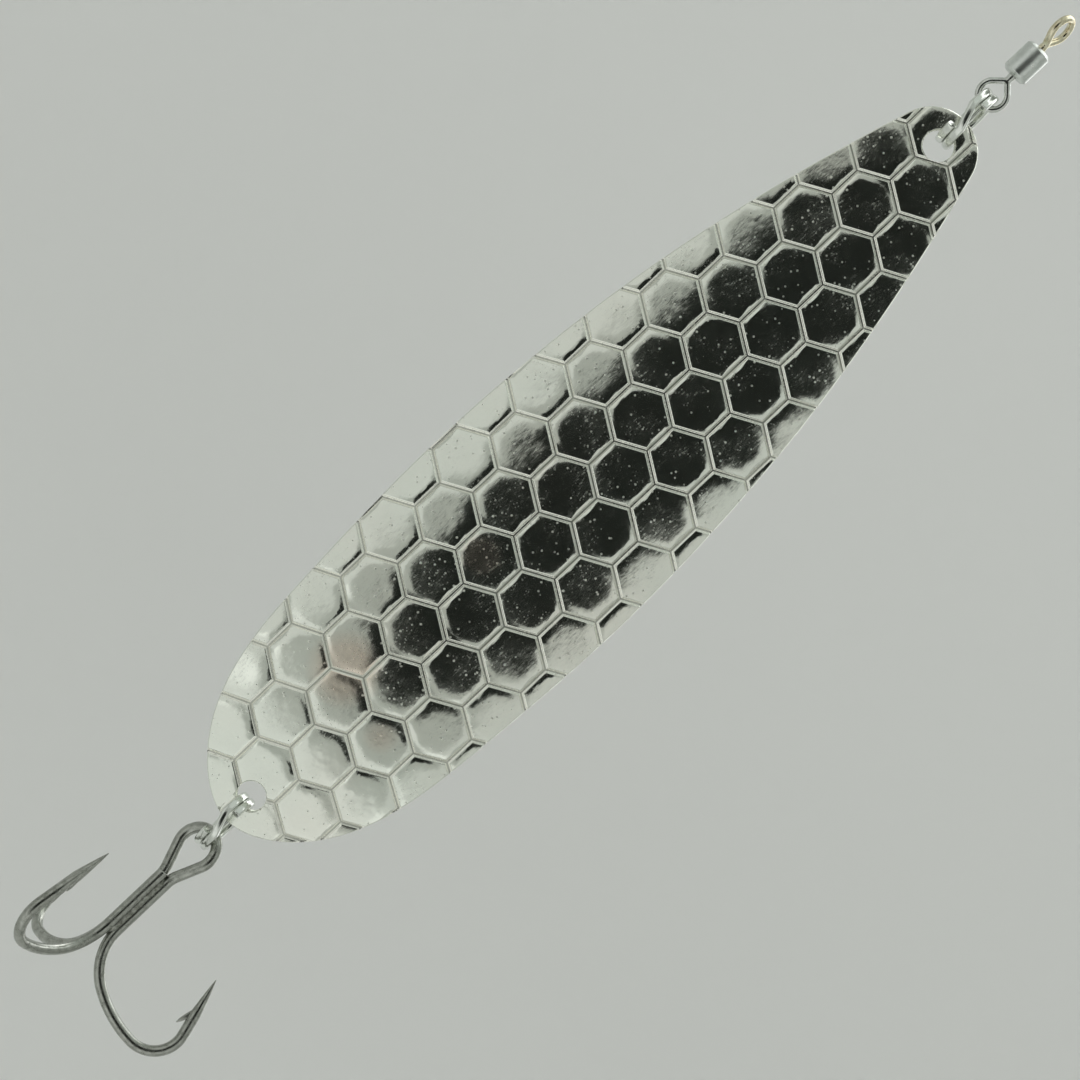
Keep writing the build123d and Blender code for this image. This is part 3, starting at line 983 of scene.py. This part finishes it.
# %% Sizes of the hook
HOOK_WIRE = 1.6 * MM
SHANK_GAP = 0.1 * MM
EYE_RADIUS = 3.0 * MM
EYE_SPREAD = radians(24)
NECK_RADIUS = 4.0 * MM
SINGLE_EXTRA = 0.9 * MM
HOOK_SPACING = radians(120)
THROAT = (8.3 * MM, radians(61), 26)
BELLY = (16.5 * MM, radians(29), 14)
HEEL = (4.6 * MM, radians(105.5), 40)
LEG_LENGTH = 3.1 * MM
POINT_LENGTH = 5.7 * MM
POINT_STEPS = 6
POINT_TIP = 0.07
POINT_POWER = 0.86
SHANK_END_BEVEL = 0.14 * MM
ROUND = 0.499

hook_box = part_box("double_hook")
hook_eye = Vector(joints["treble_swing"]["pos_m"])
facing = Vector(joints["treble_swing"]["axis"]).normalized()
eye_across = facing.cross(UP)
bundle_radius = (HOOK_WIRE + SHANK_GAP) / sqrt(3)
shank_half = (HOOK_WIRE + SHANK_GAP) / 2
treble_axis = hook_eye - facing * bundle_radius / 2
eye_leg = (
    EYE_RADIUS * cos(EYE_SPREAD) - shank_half - NECK_RADIUS * (1 - cos(EYE_SPREAD))
) / sin(EYE_SPREAD)
neck_z = hook_eye.z - (EYE_RADIUS + NECK_RADIUS) * sin(EYE_SPREAD) - eye_leg * cos(EYE_SPREAD)
arc_drop = THROAT[0] * sin(THROAT[1]) + BELLY[0] * (1 - sin(THROAT[1]))
bend_z = hook_box[0].z + HOOK_WIRE / 2 + arc_drop
print("shank, mm:", round((neck_z - bend_z) / MM, 2), "neck z, mm:", round(neck_z / MM, 2))


# %% [markdown]
# A hook's point is ground to a needle that swells a little towards its root, so its
# sections follow a power of the distance to the tip. The barb is a thorn of the same
# metal, cut up from the inner side of the wire. It is made as a short tapering wire of its
# own and united with the hook by a boolean, which leaves one closed skin.


# %% Bend of a hook, its point and its barb
BARB_ROOT = 0.9 * MM
BARB_BACK = 2.1 * MM
BARB_RISE = 1.75 * MM
BARB_WIDTH = 0.72 * MM
BARB_DEPTH = 0.78 * MM
BARB_CORNER = 0.2 * MM
BARB_TAPERS = ((0.45, 0.9), (0.3, 0.72), (0.25, 0.2))
BARB_SUNK = 0.22
BARB_FORWARD = 0.4


def bend_hook(wire, outward):
    """Bends a hook from a wire that comes down its shank, and gives its barb's own form."""
    pin = outward
    for radius, angle, steps in (THROAT, BELLY, HEEL):
        pin = wire.bend(pin, radius, angle, steps)
    wire.run(LEG_LENGTH, steps=4)
    barb_foot = wire.at.copy()
    swell = 1.0
    for step in range(POINT_STEPS):
        left = 1 - (step + 1) / POINT_STEPS
        wanted = POINT_TIP + (1 - POINT_TIP) * left ** POINT_POWER
        wire.run(POINT_LENGTH / POINT_STEPS, taper=wanted / swell)
        swell = wanted
    root = barb_foot + pin * HOOK_WIRE * BARB_SUNK + wire.heading * BARB_ROOT * BARB_FORWARD
    tip = barb_foot + pin * BARB_RISE - wire.heading * BARB_BACK
    barb_form = bmesh.new()
    way = tip - root
    barb = Wire(
        barb_form, root, way, wire.heading.cross(pin), BARB_WIDTH, BARB_DEPTH, BARB_CORNER
    )
    for share, taper in BARB_TAPERS:
        barb.run(way.length * share, taper=taper)
    cap(barb_form)
    bmesh.ops.recalc_face_normals(barb_form, faces=barb_form.faces[:])
    return barb_form


def level(angle):
    """A level direction at an angle about the lure's length."""
    return Vector((cos(angle), sin(angle), 0))


# %% [markdown]
# The double hook is fed from the top of its eye down both sides. The eye is an arc of more
# than a half circle, then each leg runs in to the neck, where a small arc brings it upright
# beside the other. The two hooks stand 120 degrees apart about the treble's own middle.

# %% Double hook
double_form = bmesh.new()
barbs = []
for side in (1, -1):
    across = eye_across * side
    wire = Wire(
        double_form, hook_eye + UP * EYE_RADIUS, across, facing, HOOK_WIRE, HOOK_WIRE,
        ROUND * HOOK_WIRE, corner_steps=6,
    )
    wire.bend(-UP, EYE_RADIUS, pi / 2 + EYE_SPREAD, 30)
    wire.run(eye_leg, steps=3)
    outward = (across - wire.heading * across.dot(wire.heading)).normalized()
    wire.bend(outward, NECK_RADIUS, EYE_SPREAD, 8)
    wire.run(wire.at.z - bend_z, steps=8)
    turn = 0 if side == 1 else HOOK_SPACING
    barbs.append(bend_hook(wire, level(turn)))
double_hook = finish_form(
    double_form, "double_hook_wire", "double_hook", "treble", hook_steel
)
for barb in barbs:
    boolean(double_hook, barb, "UNION")

# %% [markdown]
# The single hook has no eye. Its wire is sheared off just above the neck, and the cut end
# catches the light as a short bright line, so its edge is broken by a bevel.

# %% Single hook
single_form = bmesh.new()
single_out = level(-HOOK_SPACING)
single_top = treble_axis + single_out * bundle_radius
single_top.z = neck_z + SINGLE_EXTRA
wire = Wire(
    single_form, single_top, -UP, facing, HOOK_WIRE, HOOK_WIRE, ROUND * HOOK_WIRE,
    corner_steps=6,
)
wire.run(single_top.z - bend_z, steps=9)
barb = bend_hook(wire, single_out)
bmesh.ops.holes_fill(single_form, edges=wire.first, sides=0)
bmesh.ops.bevel(
    single_form, geom=wire.first, offset=SHANK_END_BEVEL, segments=2, profile=0.5,
    affect="EDGES", material=-1,
)
single_hook = finish_form(
    single_form, "single_hook_wire", "single_hook", "treble", hook_steel
)
boolean(single_hook, barb, "UNION")

# %% [markdown]
# ## Brazing metal
#
# The brass that was melted between the shanks shows as a dark, uneven skin in the three
# valleys, and it thins out to a point at both ends. A column that runs up the middle of
# the bundle shows only there. Its sections are drawn in at the ends and pushed about a
# little by chance, which is smoothed again, because molten metal has no sharp dents.

# %% Brazing metal
BRAZE_RADIUS = 1.24 * MM
BRAZE_OVERRUN = 1.6 * MM
BRAZE_STEPS = 40
BRAZE_WAVE = 0.10 * MM
BRAZE_RISE = 0.3 * MM
BRAZE_TOP_SIZE, BRAZE_TOP_GROWTH = 0.45, 9
BRAZE_END_SIZE, BRAZE_END_GROWTH = 0.3, 6.0

braze_form = bmesh.new()
braze_top = Vector((treble_axis.x, treble_axis.y, neck_z + BRAZE_RISE))
braze_length = braze_top.z - bend_z + BRAZE_OVERRUN
wire = Wire(
    braze_form, braze_top, -UP, facing, 2 * BRAZE_RADIUS, 2 * BRAZE_RADIUS,
    ROUND * 2 * BRAZE_RADIUS, corner_steps=9,
)
sections = [wire.verts()]
for step in range(BRAZE_STEPS):
    wire.run(braze_length / BRAZE_STEPS)
    sections.append(wire.verts())
braze_form.verts.index_update()
for number, section in enumerate(sections):
    share = number / BRAZE_STEPS
    size = min(
        1.0, BRAZE_TOP_SIZE + BRAZE_TOP_GROWTH * share,
        BRAZE_END_SIZE + BRAZE_END_GROWTH * (1 - share),
    )
    for vert in sorted(section, key=lambda vert: vert.index):
        out = vert.co - treble_axis
        out.z = 0
        vert.co += out * (size - 1) + out.normalized() * chance.uniform(-1, 1) * BRAZE_WAVE
soften(braze_form, braze_form.verts[:], 2, up=False)
braze = finish_form(braze_form, "brazing_metal", "braze_joint", "treble", braze_metal)
for hook in (double_hook, single_hook):
    hook_form = bmesh.new()
    hook_form.from_mesh(hook.data)
    boolean(braze, hook_form, "DIFFERENCE")
weld(braze)

# %% [markdown]
# ## Swivel
#
# Each loop of the swivel is a ring of wire whose two legs meet at a right angle and are
# welded into a round neck. The neck runs into the barrel and ends in a head that keeps it
# there. Loop and neck are two forms, united by a boolean and then welded.

# %% Loops of the swivel
LOOP_WIRE = 0.92 * MM
LINE_LOOP_WIRE = 1.08 * MM
LOOP_RADIUS = 2.0 * MM
LINE_LOOP_TURN = radians(65)
SHANK_NECK = 1.2 * MM
NECK_RUN = 1.0 * MM
BARREL_WALL = 0.9 * MM
TURNING_GAP = 0.04 * MM
HEAD_SIZE = 2.4 * MM
HEAD_LENGTH = 1.1 * MM
HEAD_STEP = 0.02 * MM
NECK_SUNK = 0.6
NECK_TIP = 0.7


def swivel_loop(name, node, body, material, centre_z, down, turn, thick=LOOP_WIRE):
    """A loop with its neck and head, which point down (-1) or up (1) into the barrel."""
    centre = Vector((0, 0, centre_z))
    toward = UP * down
    across = level(turn)
    apex = centre + toward * LOOP_RADIUS * sqrt(2)
    form = bmesh.new()
    wire = Wire(
        form, apex, (across - toward).normalized(), across.cross(toward), thick, thick,
        ROUND * thick, corner_steps=6,
    )
    wire.run(LOOP_RADIUS, steps=3)
    wire.bend((centre - wire.at), LOOP_RADIUS, 1.5 * pi, 72)
    wire.run(LOOP_RADIUS, steps=3)
    piece = finish_form(form, name, node, body, material)
    neck_form = bmesh.new()
    neck = Wire(
        neck_form, apex - toward * LOOP_WIRE * NECK_SUNK, toward, across,
        SHANK_NECK * NECK_TIP, SHANK_NECK * NECK_TIP, ROUND * SHANK_NECK * NECK_TIP,
        corner_steps=9,
    )
    neck.run(LOOP_WIRE * NECK_SUNK + NECK_RUN / 2, steps=4, taper=1 / NECK_TIP)
    neck.run(NECK_RUN / 2 + BARREL_WALL + TURNING_GAP)
    neck.run(HEAD_STEP, taper=HEAD_SIZE / SHANK_NECK)
    neck.run(HEAD_LENGTH - HEAD_STEP)
    cap(neck_form)
    bmesh.ops.recalc_face_normals(neck_form, faces=neck_form.faces[:])
    boolean(piece, neck_form, "UNION", crossing=True)
    weld(piece)
    return piece


barrel_low, barrel_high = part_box("swivel_barrel")
loop_reach = NECK_RUN + LOOP_RADIUS * sqrt(2)
swivel_loop(
    "line_loop_wire", "line_eye", "line_loop", loop_brass,
    barrel_high.z + loop_reach, -1, LINE_LOOP_TURN, LINE_LOOP_WIRE,
)
swivel_loop(
    "lure_loop_wire", "lure_eye", "lure_loop", loop_nickel,
    barrel_low.z - loop_reach, 1, 0,
)

# %% [markdown]
# The barrel is a turned sleeve, swaged over the two heads. Its section is drawn once, with
# the two bores and the cavity, and spun about the lure's length. The edges of a turned part
# are never quite sharp, so each gets a small bevel, which also catches a line of light.

# %% Barrel
BARREL_TURNS = 96
CORNER_ANGLE = radians(30)
BARREL_CHAMFER = 0.45 * MM
CAVITY_RADIUS = 1.45 * MM
BARREL_BEVEL = 0.07 * MM

barrel_radius = barrel_high.x
bore = SHANK_NECK / 2 + TURNING_GAP
barrel_length = barrel_high.z - barrel_low.z
barrel_profile = [
    (bore, 0), (barrel_radius - BARREL_CHAMFER, 0), (barrel_radius, BARREL_CHAMFER),
    (barrel_radius, barrel_length - BARREL_CHAMFER),
    (barrel_radius - BARREL_CHAMFER, barrel_length), (bore, barrel_length),
    (bore, barrel_length - BARREL_WALL), (CAVITY_RADIUS, barrel_length - BARREL_WALL),
    (CAVITY_RADIUS, BARREL_WALL), (bore, BARREL_WALL),
]
barrel_form = bmesh.new()
chain = [barrel_form.verts.new((out, 0, barrel_low.z + up)) for out, up in barrel_profile]
for pair in zip(chain, chain[1:] + chain[:1]):
    barrel_form.edges.new(pair)
bmesh.ops.spin(
    barrel_form, geom=barrel_form.verts[:] + barrel_form.edges[:], cent=(0, 0, 0),
    axis=(0, 0, 1), angle=2 * pi, steps=BARREL_TURNS, use_merge=True,
)
bmesh.ops.recalc_face_normals(barrel_form, faces=barrel_form.faces[:])
corners = [
    edge for edge in barrel_form.edges
    if edge.is_manifold and edge.calc_face_angle() > CORNER_ANGLE
]
bmesh.ops.bevel(
    barrel_form, geom=corners, offset=BARREL_BEVEL, segments=3, profile=0.5,
    affect="EDGES", material=-1,
)
finish_form(
    barrel_form, "swivel_sleeve", "swivel_barrel", "barrel", sleeve_nickel
)
